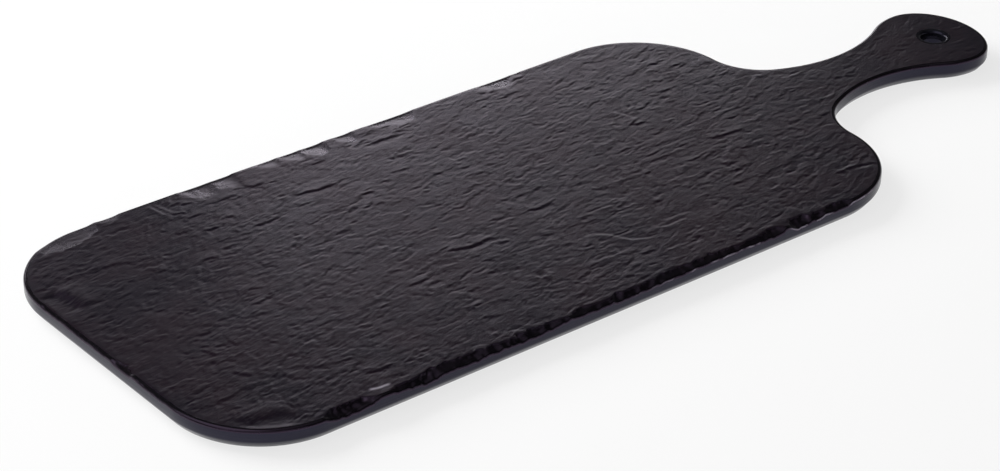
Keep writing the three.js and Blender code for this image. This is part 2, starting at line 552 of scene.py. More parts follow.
class Pattern(Enum):
    """Textures that a grain can have, by the kind of their node."""

    NOISE = "TexNoise"
    CELLS = "TexVoronoi"


@dataclass(frozen=True)
class Grain:
    """A relief finer than the mesh; one with a length is drawn out along X and Y."""

    size_mm: float
    depth_mm: float
    length_mm: float = 0.0
    detail: float = 2.0
    strength: float = 1.0
    pattern: Pattern = Pattern.NOISE


@dataclass(frozen=True)
class CloudedFinish(Finish):
    """A finish whose colour and roughness drift together in soft clouds, under one or more grains."""

    dark: str
    pale: str
    ior: float
    roughness: Plan
    cloud_mm: float
    grains: tuple[Grain, ...]
    sheen_tint: str = "ffffff"
    cloud_detail: float = 4.0
    colour_stops: Plan = (0.35, 0.68)
    rough_stops: Plan = (0.0, 1.0)

    def shader(self, tree: bpy.types.NodeTree) -> bpy.types.NodeSocket:
        """Adds the finish's nodes.

        Args:
            tree: the material's node tree.

        Returns:
            The output of the finish's shader.
        """
        place = add_node(tree, "TexCoord").outputs["Object"]
        size = {"Scale": per_metre(self.cloud_mm), "Detail": self.cloud_detail}
        cloud = add_node(tree, "TexNoise", size, Vector=place).outputs[0]
        colour = add_node(tree, "ValToRGB", Fac=cloud)
        set_stops(colour.color_ramp, *zip(self.colour_stops, (linear(self.dark), linear(self.pale))))
        links = {"Base_Color": colour.outputs["Color"]}
        low, high = self.roughness
        if low < high:
            stops = dict(zip(("From Min", "From Max"), self.rough_stops))
            rough = add_node(tree, "MapRange", {**stops, "To Min": low, "To Max": high}, Value=cloud)
            links["Roughness"] = rough.outputs["Result"]
        under: dict[str, bpy.types.NodeSocket] = {}
        for grain in self.grains:
            along = place
            if grain.length_mm:
                drawn = grain.length_mm / grain.size_mm
                stretch = {"vector_type": "TEXTURE", "Scale": (drawn, drawn, 1.0)}
                along = add_node(tree, "Mapping", stretch, Vector=place).outputs["Vector"]
            size = {"Scale": per_metre(grain.size_mm), "Detail": grain.detail}
            relief = add_node(tree, grain.pattern.value, size, Vector=along).outputs[0]
            depth = {"Distance": grain.depth_mm * MM, "Strength": grain.strength}
            under = {"Normal": add_node(tree, "Bump", depth, Height=relief, **under).outputs["Normal"]}
        settings = {"IOR": self.ior, "Roughness": low, "Specular Tint": linear(self.sheen_tint)}
        return add_node(tree, "BsdfPrincipled", settings, **links, **under).outputs["BSDF"]


@dataclass(frozen=True)
class PolishedMelamine(CloudedFinish):
    """Compression-moulded melamine from a polished mould, on the wall, the undercut and the hole.

    The eye gets a deep black with a clear reflection of the table, a little uneven from the flow of
    the resin and rubbed duller in patches.
    """

    title: str = "melamine_polished_edge"
    dark: str = "0a0a0d"
    pale: str = "111116"
    sheen_tint: str = "d6d2ff"
    ior: float = 1.5
    roughness: Plan = (0.14, 0.24)
    rough_stops: Plan = (0.35, 0.7)
    cloud_mm: float = 30.0
    grains: tuple[Grain, ...] = (Grain(14.0, 0.02, detail=1.0), Grain(0.9, 0.12, length_mm=45.0))


@dataclass(frozen=True)
class BlastedMelamine(CloudedFinish):
    """Compression-moulded melamine as it leaves a blasted mould, on the hidden underside.

    The eye gets an even, fine-grained matt black. The grain is drawn coarser than a real blasted
    one, which is too fine to show.
    """

    title: str = "melamine_blasted_mould"
    dark: str = "1b1a1c"
    pale: str = "242326"
    ior: float = 1.55
    roughness: Plan = (0.49, 0.61)
    cloud_mm: float = 18.0
    grains: tuple[Grain, ...] = (Grain(0.7, 0.03),)


@dataclass(frozen=True)
class SiliconeRubber(CloudedFinish):
    """Moulded silicone rubber.

    The eye gets a soft, dull black with a light bloom of dust and a faint pebble from the mould,
    drawn coarser than the real one, which is too fine to show.
    """

    title: str = "silicone_rubber_moulded"
    dark: str = "18181a"
    pale: str = "262629"
    ior: float = 1.41
    roughness: Plan = (0.64, 0.8)
    cloud_mm: float = 4.0
    cloud_detail: float = 5.0
    colour_stops: Plan = (0.38, 0.7)
    grains: tuple[Grain, ...] = (Grain(0.5, 0.03, detail=0.0, strength=0.6, pattern=Pattern.CELLS),)


@dataclass(frozen=True)
class AcrylicFilm(CloudedFinish):
    """Die-cut acrylic adhesive film.

    The eye gets a milky, slightly cloudy off-white with a soft gloss at its cut edge. Its grain is
    drawn coarser than the real one, which is too fine to show.
    """

    title: str = "acrylic_adhesive_film"
    dark: str = "b9b3a2"
    pale: str = "d9d4c6"
    ior: float = 1.47
    roughness: Plan = (0.4, 0.4)
    cloud_mm: float = 3.0
    colour_stops: Plan = (0.35, 0.65)
    grains: tuple[Grain, ...] = (Grain(0.4, 0.02, strength=0.8),)


@dataclass(frozen=True)
class StudioPaper(Finish):
    """White seamless paper under the board, plain and matt, which keeps the board's soft shadow."""

    title: str = "studio_paper"
    white: str = "f4f4f4"
    seen_share: float = 0.75
    mirrored_share: float = 0.6

    def shader(self, tree: bpy.types.NodeTree) -> bpy.types.NodeSocket:
        """Adds the finish's nodes.

        Args:
            tree: the material's node tree.

        Returns:
            The output of the finish's shader.
        """
        matt = add_node(tree, "BsdfDiffuse", {"Color": linear(self.white)}).outputs["BSDF"]
        glow = add_node(tree, "Emission", {"Strength": 1.0}).outputs["Emission"]
        rays = add_node(tree, "LightPath").outputs
        either = {"input0": rays["Is Glossy Ray"], "input1": rays["Is Transmission Ray"]}
        mirrored = add_node(tree, "Math", {"operation": "MAXIMUM"}, **either).outputs[0]
        weaker = {"operation": "MULTIPLY", 1: self.mirrored_share}
        mirrored = add_node(tree, "Math", weaker, input0=mirrored).outputs[0]
        added = {"operation": "MULTIPLY_ADD", 1: self.seen_share}
        share = add_node(tree, "Math", added, input0=rays["Is Camera Ray"], input2=mirrored).outputs[0]
        return add_node(tree, "MixShader", Fac=share, input1=matt, input2=glow).outputs["Shader"]


# The board's outline


@dataclass(frozen=True)
class Arc:
    """One round stretch of the outline, anticlockwise round the board."""

    x: float
    y: float
    radius_x: float
    radius_y: float
    start: float
    end: float
    hollow: bool = False

    def points(self, inset: float, steps: int) -> np.ndarray:
        """Gives points along the arc, drawn in by an inset.

        Args:
            inset: how far the stretch is drawn in; a hollow arc grows by it and a round one shrinks.
            steps: how many steps the arc takes.

        Returns:
            One row for each point, both ends included.
        """
        grow = inset if self.hollow else -inset
        turn = np.linspace(self.start, self.end, steps + 1)
        x = self.x + (self.radius_x + grow) * np.cos(turn)
        y = self.y + (self.radius_y + grow) * np.sin(turn)
        return np.column_stack([x, y])

    def mirrored(self) -> "Arc":
        """Gives the same stretch on the other flank, with the travel still anticlockwise."""
        return Arc(self.x, -self.y, self.radius_x, self.radius_y, -self.end, -self.start, self.hollow)


@dataclass
class Outline:
    """The board's outline in plan, made of arcs that touch and straight stretches between them."""

    body_length: float = 398.0
    body_width: float = 200.0
    front_corner_radius: float = 48.0
    rear_corner_radius: float = 50.0
    root_fillet_radius: float = 30.0
    neck_distance: float = 51.0
    neck_width: float = 31.0
    grip_radius: float = 78.0
    head_width: float = 61.0
    shoulder_radius: float = 36.0
    head_tip_length: float = 24.5
    point_spacing: float = 1.2
    least_steps: int = 3
    front_x: float = field(default_factory=lambda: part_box("board")[0].x / MM)

    def __post_init__(self) -> None:
        """Works out the places along the length, the arcs and the edge."""
        flare = (self.head_width - self.neck_width) / 2
        self.side = self.body_width / 2
        self.rear_x = self.front_x + self.body_length
        self.neck_x = self.rear_x + self.neck_distance
        self.head_x = self.neck_x + math.sqrt(flare * (2 * (self.grip_radius + self.shoulder_radius) - flare))
        self.tip_x = self.head_x + self.head_tip_length
        flank = self._flank()
        self.arcs = flank + [arc.mirrored() for arc in reversed(flank)]
        edge = self.ring(0.0)
        right = edge[edge[:, 1] < SNAP]
        self.right_edge = right[np.argsort(right[:, 0], kind="stable")]
        self.tree = KDTree(len(edge))
        for number, (x, y) in enumerate(edge):
            self.tree.insert((x, y, 0.0), number)
        self.tree.balance()

    def _flank(self) -> list[Arc]:
        """Works out the flank with y < 0.

        Returns:
            Its arcs, from the front corner to the tip of the handle.
        """
        front_r, rear_r, root_r = self.front_corner_radius, self.rear_corner_radius, self.root_fillet_radius
        grip_r, shoulder_r = self.grip_radius, self.shoulder_radius
        grip_y = -self.neck_width / 2 - grip_r
        root_x = self.rear_x + root_r
        root_y = grip_y + math.sqrt((grip_r - root_r) ** 2 - (self.neck_distance - root_r) ** 2)
        rear_x, rear_y = self.rear_x - rear_r, rear_r - self.side
        span = math.hypot(root_x - rear_x, root_y - rear_y)
        lean = math.acos(min(1.0, (rear_r + root_r) / span))
        rear_turn = math.atan2(root_y - rear_y, root_x - rear_x) - lean
        shoulder_y = shoulder_r - self.head_width / 2
        grip_start = math.atan2(root_y - grip_y, root_x - self.neck_x)
        grip_end = math.atan2(shoulder_y - grip_y, self.head_x - self.neck_x)
        return [
            Arc(self.front_x + front_r, front_r - self.side, front_r, front_r, -math.pi, -QUARTER),
            Arc(rear_x, rear_y, rear_r, rear_r, -QUARTER, rear_turn),
            Arc(root_x, root_y, root_r, root_r, rear_turn + math.pi, grip_start, True),
            Arc(self.neck_x, grip_y, grip_r, grip_r, grip_start, grip_end, True),
            Arc(self.head_x, shoulder_y, shoulder_r, shoulder_r, grip_end - math.pi, -QUARTER),
            Arc(self.head_x, 0.0, self.head_tip_length, self.head_width / 2, -QUARTER, 0.0),
        ]

    def ring(self, inset: float) -> np.ndarray:
        """Draws the outline in by an inset.

        Args:
            inset: how far it is drawn in.

        Returns:
            Points in plan, anticlockwise, as many for any inset.
        """
        rows: list[np.ndarray] = []
        for number, arc in enumerate(self.arcs):
            follower = self.arcs[(number + 1) % len(self.arcs)]
            sweep = abs(arc.end - arc.start) * max(arc.radius_x, arc.radius_y)
            points = arc.points(inset, max(self.least_steps, round(sweep / self.point_spacing)))
            gap = np.linalg.norm(follower.points(0.0, 1)[0] - arc.points(0.0, 1)[-1])
            steps = round(gap / self.point_spacing)
            rows.append(points[:-1] if steps == 0 else points)
            share = np.arange(1, steps)[:, None] / max(steps, 1)
            rows.append(points[-1] + share * (follower.points(inset, 1)[0] - points[-1]))
        return np.concatenate(rows)

    def holds(self, places: np.ndarray) -> np.ndarray:
        """Finds the places that lie inside the outline.

        Args:
            places: places in plan, one row each.

        Returns:
            True for each place inside.
        """
        edge_x, edge_y = self.right_edge.T
        half_width = np.interp(places[:, 0], edge_x, -edge_y, left=0.0, right=0.0)
        return np.abs(places[:, 1]) < half_width

    def distance(self, places: np.ndarray) -> np.ndarray:
        """Gives how far places in plan lie from the outline."""
        return np.array([self.tree.find((x, y, 0.0))[2] for x, y in places])


# The relief of the serving face

# Size of the notches along a broken rim
RAGGED_MM = 5.0

# How finely a crease's path is drawn, and how far and how often it wanders
PATH_POINTS = 60
WANDER_REACH = 0.9
WANDER_MM = 3.2

# How far a step reaches to each side, in relaxes, and a vein, in widths
STEP_REACH = 2.5
VEIN_REACH = 3

# The share of half a crease's length that each end fades over
END_FADE = 0.35


@dataclass(frozen=True)
class EdgeFlake:
    """A facet where a flake is missing from the serving edge.

    Heading is the edge's direction, in degrees, with the board on its left. The facet starts at a
    scarp, a small step that takes its share of the depth, and slopes from there to the edge. The
    window is how far it can run along the edge and inwards, in half lengths and reaches.
    """

    x: float
    y: float
    heading: float
    half_length: float
    reach: float
    depth: float
    scarp: float = 0.2
    ragged: float = 0.25
    seed: int = 0
    scarp_width: float = 0.2
    window: Plan = (1.3, 1.5)
    end_fade: float = 0.9

    def dip(self, places: np.ndarray) -> np.ndarray:
        """Works out how far the facet lies below the face.

        Args:
            places: places in plan, one row each.

        Returns:
            The depths, 0 outside the facet.
        """
        turn = math.radians(self.heading)
        off_x, off_y = (places - (self.x, self.y)).T
        along = (off_x * math.cos(turn) + off_y * math.sin(turn)) / self.half_length
        inward = (off_y * math.cos(turn) - off_x * math.sin(turn)) / self.reach
        furthest_along, furthest_in = self.window
        inside = (np.abs(along) < furthest_along) & (np.abs(inward) < furthest_in)
        depth = np.zeros(len(places))
        along, inward = along[inside], inward[inside]
        edge = np.sqrt(np.clip(1 - along**2, 0, 1)) - np.clip(inward, 0, None)
        edge = edge + self.ragged * layered_noise(places[inside] / RAGGED_MM, Seed.BREAK + self.seed, 3)
        slope = self.scarp * smooth(0.0, self.scarp_width, edge) + (1 - self.scarp) * np.clip(edge, 0, 1)
        depth[inside] = self.depth * slope * smooth(furthest_along, self.end_fade, np.abs(along))
        return depth


@dataclass(frozen=True)
class EdgeChip:
    """A shell-shaped chip beside the left edge, with a crisp curved rim and a short end at the rear.

    A higher flattening makes a steeper scarp along the rim and a flatter shelf inside it. The lip is
    the width of the strip that stays whole along the edge. The window is how far the chip can run
    along the edge and inwards, in half lengths and reaches.
    """

    x: float
    half_length: float
    reach: float
    depth: float
    seed: int
    middle: float = 0.4
    flattening: float = 2.4
    lip: float = 2.0
    lip_start: float = 0.45
    ragged: float = 0.12
    window: Plan = (1.3, 1.4)

    def dip(self, places: np.ndarray, inset: np.ndarray) -> np.ndarray:
        """Gives how far the chip lies below the face at places in plan.

        Args:
            places: the places, one row each.
            inset: how far each lies from the outline.

        Returns:
            The depths, 0 outside the chip.
        """
        along = (places[:, 0] - self.x) / self.half_length
        furthest_along, furthest_in = self.window
        inside = (np.abs(along) < furthest_along) & (places[:, 1] > 0) & (inset < furthest_in * self.reach)
        depth = np.zeros(len(places))
        along, inset = along[inside] - self.middle, inset[inside]
        along = along / np.where(along < 0, 1 + self.middle, 1 - self.middle)
        ragged = self.ragged * layered_noise(places[inside] / RAGGED_MM, Seed.BREAK + self.seed, 2)
        deep = np.clip(1 - np.hypot(along, inset / self.reach) + ragged, 0, 1)
        whole = smooth(self.lip_start * self.lip, self.lip, inset) if self.lip else 1.0
        depth[inside] = self.depth * (1 - (1 - deep) ** self.flattening) * whole
        return depth


@dataclass(frozen=True)
class Crease:
    """A vein along a bent line, or a step that one side rises by and that eases off within its relax."""

    line: tuple[Plan, ...]
    width: float
    height: float
    step: bool = False
    relax: float = 3.0

    def rise(self, places: np.ndarray) -> np.ndarray:
        """Works out how far the crease lifts the face.

        Args:
            places: places in plan, one row each.

        Returns:
            The heights, 0 away from the crease.
        """
        knots = np.array(self.line)
        share = np.linspace(0, len(knots) - 1, PATH_POINTS)
        path = np.column_stack([np.interp(share, np.arange(len(knots)), axis) for axis in knots.T])
        path[:, 1] += WANDER_REACH * layered_noise(path / WANDER_MM, Seed.CREASE, 2)
        margin = STEP_REACH * self.relax if self.step else VEIN_REACH * self.width
        near = np.all((places > path.min(axis=0) - margin) & (places < path.max(axis=0) + margin), axis=1)
        lift = np.zeros(len(places))
        if not near.any():
            return lift
        offset = places[near][:, None] - path
        closest = np.hypot(offset[..., 0], offset[..., 1]).argmin(axis=1)
        off_x, off_y = offset[np.arange(len(closest)), closest].T
        apart = np.hypot(off_x, off_y)
        fade = smooth(0.0, END_FADE, np.minimum(closest, len(path) - 1 - closest) / (len(path) / 2))
        if self.step:
            along_x, along_y = np.gradient(path, axis=0)[closest].T
            apart = apart * np.sign(along_x * off_y - along_y * off_x)
            shape = np.tanh(apart / self.width) * np.exp(-((apart / self.relax) ** 2))
        else:
            shape = np.exp(-((apart / self.width) ** 2))
        lift[near] = self.height * fade * shape
        return lift


@dataclass
class RivenFace:
    """The relief of the serving face: ripples, wrinkles, plates and swells that run along the board."""

    lean: float = 0.25
    bend_size: Plan = (17.0, 12.0)
    bend_reach: Plan = (3.0, 2.4)
    busy_size: Plan = (15.0, 10.0)
    busy_ends: Plan = (-0.3, 0.6)
    busy_low: float = 0.4
    busy_span: float = 1.15
    ripple_size: Plan = (5.0, 2.5)
    ripple_height: float = 0.15
    ripple_blunting: float = 0.35
    wrinkle_size: Plan = (2.8, 1.5)
    wrinkle_height: float = 0.09
    plate_size: Plan = (14.0, 6.0)
    plate_height: float = 0.12
    plate_notch_x: Plan = (6.0, 4.0)
    plate_notch_y: Plan = (5.0, 3.5)
    plate_notch_reach: Plan = (2.0, 1.0)
    swell_size: float = 75.0
    swell_height: float = 0.22
    front_rise: float = 0.25
    front_rise_ends: Plan = (-230.0, -110.0)

    def height(self, places: np.ndarray) -> np.ndarray:
        """Works out the relief.

        Args:
            places: places in plan, one row each.

        Returns:
            Heights above and below the mean face.
        """
        x, y = places.T
        reach_x, reach_y = self.bend_reach
        bend_x = x + reach_x * layered_noise(places / self.bend_size, Seed.BEND_X, 2)
        bend_y = y - self.lean * x + reach_y * layered_noise(places / self.bend_size, Seed.BEND_Y, 3)
        bent = np.column_stack([bend_x, bend_y])
        notch_x = self.plate_notch_reach[0] * layered_noise(places / self.plate_notch_x, Seed.RAGGED_X, 2)
        notch_y = self.plate_notch_reach[1] * layered_noise(places / self.plate_notch_y, Seed.RAGGED_Y, 2)
        ragged = np.column_stack([bend_x + notch_x, bend_y + notch_y])
        ripple = layered_noise(bent / self.ripple_size, Seed.RIPPLE, 2)
        ripple = ripple - self.ripple_blunting * np.abs(ripple)
        wrinkle = gradient_noise(bent / self.wrinkle_size, Seed.WRINKLE)
        busy = smooth(*self.busy_ends, layered_noise(places / self.busy_size, Seed.BUSY, 3))
        busy = self.busy_low + self.busy_span * busy
        relief = busy * (self.ripple_height * ripple + self.wrinkle_height * wrinkle)
        relief += self.plate_height * plate_noise(ragged / self.plate_size, Seed.PLATE)
        relief += self.swell_height * gradient_noise(places / self.swell_size, Seed.SWELL)
        return relief * (1 + self.front_rise * (1 - smooth(*self.front_rise_ends, x)))


@dataclass(frozen=True)
class FlakeEdges:
    """Short broken edges of cleavage flakes, scattered over the face by a seeded generator."""

    count: int = 1200
    seed: int = 19
    length: Plan = (2.5, 13.0)
    length_skew: Plan = (1.2, 2.6)
    height: Plan = (0.04, 0.3)
    height_skew: Plan = (0.9, 3.0)
    width: Plan = (0.25, 0.5)
    relax: Plan = (1.2, 3.6)
    heading_deg: float = 4.0
    heading_spread_deg: float = 12.0
    dark_share: float = 0.62
    groove_share: float = 0.25
    clear_edge: float = 5.0
    knots: int = 4
    wander_share: float = 0.05
    groove_widening: float = 1.3

    def scatter(self, outline: Outline) -> list[Crease]:
        """Spreads the edges over the whole outline.

        Args:
            outline: the board's outline.

        Returns:
            One crease for each edge.
        """
        rng = np.random.default_rng(self.seed)
        creases = []
        while len(creases) < self.count:
            x, y = rng.uniform(outline.front_x, outline.tip_x), rng.uniform(-outline.side, outline.side)
            heading = math.radians(self.heading_deg + self.heading_spread_deg * rng.normal())
            length = np.interp(rng.beta(*self.length_skew), (0, 1), self.length)
            height = np.interp(rng.beta(*self.height_skew), (0, 1), self.height)
            wander = rng.normal(size=self.knots) * self.wander_share * length
            if not outline.holds(np.array([[x, abs(y) + self.clear_edge]]))[0]:
                continue
            along, aside = math.cos(heading), math.sin(heading)
            share = np.linspace(-0.5, 0.5, self.knots) * length
            line = tuple(
                (x + run * along - off * aside, y + run * aside + off * along)
                for run, off in zip(share, wander)
            )
            groove, dark = rng.random(2) < (self.groove_share, self.dark_share)
            width, relax = rng.uniform(*self.width), rng.uniform(*self.relax)
            if groove:
                creases.append(Crease(line, width * self.groove_widening, -height))
            else:
                creases.append(Crease(line, width, height if dark else -height, True, relax))
        return creases


@dataclass(frozen=True)
class FlakeRun:
    """A ragged run of flakes along the right edge, placed by a seeded generator, shallower at its rear."""

    start: float = -206.0
    shallow_from: float = 70.0
    end: float = 100.0
    seed: int = 7
    half_length: Plan = (5.0, 18.0)
    reach: Plan = (1.4, 6.0)
    depth: Plan = (1.1, 3.3)
    shallow_share: float = 0.6
    flake_seeds: tuple[int, int] = (20, 900)
    ragged: float = 0.55
    spacing: Plan = (0.7, 1.2)

    def scatter(self, outline: Outline) -> list[EdgeFlake]:
        """Spreads the flakes along the edge.

        Args:
            outline: the board's outline.

        Returns:
            The flakes, from the front to the rear.
        """
        rng = np.random.default_rng(self.seed)
        flakes = []
        x, y = self.start, -outline.side
        while x < self.end:
            half_length = rng.uniform(*self.half_length)
            reach = rng.uniform(*self.reach)
            depth = rng.uniform(*self.depth) * (1.0 if x < self.shallow_from else self.shallow_share)
            seed = int(rng.integers(*self.flake_seeds))
            flakes.append(EdgeFlake(x, y, 0, half_length, reach, depth, ragged=self.ragged, seed=seed))
            x += half_length * rng.uniform(*self.spacing)
        return flakes


def front_flakes(outline: Outline) -> list[EdgeFlake]:
    """Places five listed flakes on the front edge.

    Args:
        outline: the board's outline.

    Returns:
        The flakes, from left to right.
    """
    x, heading = outline.front_x, -90
    return [
        EdgeFlake(x, 42, heading, 15.0, 2.0, 1.0, seed=1),
        EdgeFlake(x, 20, heading, 14.0, 2.2, 1.0, seed=2),
        EdgeFlake(x, 2, heading, 11.0, 1.8, 0.8, seed=3),
        EdgeFlake(x, -14, heading, 8.0, 3.4, 1.3, 0.3, 0.3, seed=4),
        EdgeFlake(x, -36, heading, 17.0, 2.0, 1.0, seed=5),
    ]


# Chips beside the left long edge, from the front corner to the handle
CHIPS = [
    EdgeChip(-224, 18.0, 13.0, 0.9, 1, 0.1, 5.0, 0.0),
    EdgeChip(-200, 7.5, 5.0, 0.55, 2, 0.0, 2.5, 0.0),
    EdgeChip(-151, 11.0, 14.5, 0.8, 3, 0.2),
    EdgeChip(-140, 10.0, 13.0, 0.75, 4, 0.55),
    EdgeChip(-112, 7.0, 9.0, 0.4, 5),
    EdgeChip(-98, 7.0, 11.0, 0.6, 6),
    EdgeChip(-86, 8.0, 13.0, 0.75, 7),
    EdgeChip(-67, 6.0, 12.0, 0.6, 8),
    EdgeChip(-38, 15.0, 11.0, 0.65, 9),
    EdgeChip(26, 13.0, 11.0, 0.65, 10),
    EdgeChip(41, 4.0, 6.0, 0.35, 11),
]

# A painted glint: a pale line on a flake near the front of the right edge, whose height is the share of the
# pale colour
GLINT_LINE = Crease(((-192, -92.6), (-187, -93.6), (-181, -94.2)), 0.6, 0.9)

# Steps and soft dips that stand out; a step's height is what its left side rises by
CREASES = [
    Crease(((-33, -48), (-26, -55), (-21, -64), (-8, -70)), 0.5, -0.16, True),
    Crease(((-50, -68), (-38, -70), (-28, -70)), 0.5, -0.12, True),
    Crease(((-45, -58), (-36, -51)), 0.5, -0.1, True),
    Crease(((0, -59), (10, -60), (19, -61)), 0.5, -0.14, True),
    Crease(((-6, -64), (4, -64.5), (13, -64)), 0.6, -0.18, True),
    Crease(((82, -17), (73, -26), (63, -33)), 0.6, 0.2, True),
    Crease(((61, -34), (62, -38), (69, -38)), 0.6, 0.16, True),
    Crease(((20, -13), (48, -13.5), (72, -13)), 0.5, 0.07, True),
    Crease(((72, -12), (79, -14.5), (95, -15.5)), 0.5, 0.24, True),
    Crease(((96, -76), (108, -76), (122, -80)), 0.6, 0.22, True),
    Crease(((-96, -21), (-83, -24.5), (-69, -24)), 0.5, 0.26, True),
    Crease(((-42, -14.6), (-35, -16), (-27, -15.1)), 0.5, 0.22, True),
    Crease(((-128, -35), (-121, -35.5), (-114, -34.5)), 0.5, 0.22, True),
    Crease(((-120, -40.5), (-112, -39)), 0.5, 0.16, True),
    Crease(((-186, -81), (-178, -83), (-170, -82)), 0.5, 0.22, True),
    Crease(((-250, -62), (-240, -61.5), (-231, -59)), 0.5, 0.2, True),
    Crease(((-230, -22.5), (-229, -26), (-227, -32)), 0.6, 0.22, True),
    Crease(((-230, -47), (-227, -50), (-224, -53.6)), 0.6, 0.2, True),
    Crease(((-227, -77), (-225, -81), (-224, -85)), 0.6, 0.2, True),
    Crease(((-109, -29), (-102, -31), (-96, -32)), 0.6, -0.16, True),
    Crease(((-151, 51), (-143, 50), (-136, 52)), 0.5, 0.24, True),
    Crease(((-234, 60), (-226, 61), (-216, 60.5)), 0.5, 0.2, True),
    Crease(((-120, 64), (-108, 61), (-95, 61)), 0.5, 0.26, True),
    Crease(((-132, 83), (-122, 82)), 0.6, 0.2, True),
    Crease(((-97, 82.5), (-87, 83)), 0.6, 0.2, True),
    Crease(((-66, 83), (-52, 82.5), (-41, 83)), 0.6, 0.2, True),
    Crease(((20, 82), (32, 83)), 0.6, 0.2, True),
    Crease(((53, 38), (56, 32), (59, 23)), 0.7, -0.12, True),
    Crease(((-254, 58), (-252, 48), (-251, 36)), 3.0, 0.9, True, 9.0),
    Crease(((-251, -79), (-239, -83), (-224, -86)), 3.2, 0.6, True, 9.0),
    Crease(((-179, 97), (-178, 91), (-177, 84)), 0.6, -0.2, True),
    Crease(((-176, 97), (-174.5, 91), (-173, 85)), 0.6, -0.2, True),
]


# The board


class BoardFinish(Enum):
    """Where each finish of the board goes, as its material number."""

    FACE = 0
    EDGE = 1
    UNDERSIDE = 2


@dataclass
class Board:
    """The moulding: riven face, flaked and rounded edge, undercut, hanging hole and recessed underside.

    Slack and chord_share allow for rings whose chords lie a little inside their curves.
    """

    outline: Outline = field(default_factory=Outline)
    face: RivenFace = field(default_factory=RivenFace)
    face_z: float = field(default_factory=lambda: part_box("board")[1].z / MM)
    rim_z: float = field(default_factory=lambda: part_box("board")[0].z / MM)
    wall_height: float = 6.0
    edge_round: float = 1.5
    edge_degrees: tuple[int, ...] = (18, 36, 45, 54, 63, 75, 90)
    bevel_degrees: int = 45
    undercut_inset: float = 3.0
    crease_round: float = 0.5
    rim_round: float = 0.6
    hole_diameter: float = 12.5
    hole_mouth: float = 1.5
    mouth_degrees: tuple[int, ...] = (0, 15, 30, 45, 60, 75, 90)
    hole_tip_distance: float = 25.0
    hole_steps: int = 64
    recess_depth: float = 3.0
    recess_rim: float = 12.0
    recess_corner: float = 36.0
    recess_corner_steps: int = 24
    recess_draft: float = 1.5
    recess_ease: float = 0.2
    recess_round: float = 0.7
    seat_depth: float = 1.0
    seat_diameter: float = 18.6
    chord_share: float = 0.995
    seat_steps: int = 48
    foot_end_inset: float = 36.0
    foot_side_inset: float = 30.0
    grid_step: Plan = (0.8, 0.56)
    grid_inset: float = 3.2
    seam: float = 0.8
    hole_land: float = 0.6
    hole_seam: float = 1.0
    slack: float = 0.05
    crease_deg: float = 50.0
    edge_fade: Plan = (1.2, 5.0)
    edge_polish: Plan = (0.6, 2.4)
    mouth_fade: Plan = (0.4, 4.0)
    mouth_polish: Plan = (0.2, 1.4)
    handle_calm: float = 0.7
    handle_calm_ends: Plan = (-12.0, 30.0)
    broken_depths: Plan = (0.05, 0.25)
    broken_calm: float = 0.6
    flake_polish: float = 0.6
    chip_polish: float = 0.4
    # A faint painted light on the chips along the left edge, whose facets face the light
    chip_painted_light: float = 0.06
    # Painted glints along the arris at the rear of the right edge: share, rings, x range, reach from the
    # edge, patch size and noise levels
    arris_glint_share: float = 0.85
    arris_glint_degrees: tuple[int, ...] = (63, 75)
    arris_glint_ends: Plan = (-70.0, 20.0)
    arris_glint_reach: float = 5.0
    arris_glint_patch: float = 9.0
    arris_glint_levels: Plan = (-0.05, 0.2)
    arris_polish: float = 0.8
    gloss_patch: float = 12.0
    gloss_levels: Plan = (-0.05, 0.25)
    gloss_low: float = 0.3

    def __post_init__(self) -> None:
        """Works out the places that depend on the outline."""
        self.hole = (self.outline.tip_x - self.hole_tip_distance, 0.0)
        self.mouth_radius = self.hole_diameter / 2 + self.hole_mouth
        self.flakes = front_flakes(self.outline) + FlakeRun().scatter(self.outline)
        self.creases = CREASES + FlakeEdges().scatter(self.outline)
        self.recess_z = self.rim_z + self.recess_depth
        side = self.outline.side - self.foot_side_inset
        ends = (self.outline.front_x + self.foot_end_inset, self.outline.rear_x - self.foot_end_inset)
        self.seats = list(product(ends, (side, -side)))

    def from_hole(self, places: np.ndarray) -> np.ndarray:
        """Gives how far places in plan lie from the axis of the hanging hole."""
        return np.hypot(*(places - self.hole).T)

    def face_points(self, places: np.ndarray, inset: Levels) -> tuple[np.ndarray, np.ndarray, np.ndarray]:
        """Works out the serving face at places in plan.

        Args:
            places: the places, one row each.
            inset: how far they lie from the outline, one for all or one each.

        Returns:
            The heights, the polish from 0 to 1 and the painted light from 0 to 1.
        """
        x, y = places.T
        inset = np.broadcast_to(inset, len(places))
        relief = self.face.height(places)
        for crease in self.creases:
            relief = relief + crease.rise(places)
        calm = smooth(*self.handle_calm_ends, x - self.outline.rear_x)
        calm = 1 - (1 - self.handle_calm) * calm
        near_hole = self.from_hole(places) - self.mouth_radius
        fade = smooth(*self.edge_fade, inset) * smooth(*self.mouth_fade, near_hole)
        flakes = [flake.dip(places) for flake in self.flakes]
        chips = [chip.dip(places, inset) for chip in CHIPS]
        dip = np.maximum.reduce(flakes + chips)
        broken = smooth(*self.broken_depths, dip)
        height = self.face_z + relief * calm * fade * (1 - self.broken_calm * broken) - dip
        polish = np.where(y < 0, self.flake_polish, self.chip_polish) * broken
        polish = np.maximum(polish, 1 - smooth(*self.edge_polish, inset))
        polish = np.maximum(polish, 1 - smooth(*self.mouth_polish, near_hole))
        # Painted light: a faint pale tone on the left chips, which face the light, and a painted glint line
        painted_light = np.where(y > 0, self.chip_painted_light, 0.0) * broken + GLINT_LINE.rise(places)
        return height, polish, painted_light

    def build_face(self, mesh: MeshBuilder) -> tuple[np.ndarray, np.ndarray]:
        """Makes the serving face: a fine grid inside, sewn to a ring along the edge and one round the hole.

        Args:
            mesh: where the faces go.

        Returns:
            The point numbers of the ring along the edge and of the ring round the hole.
        """
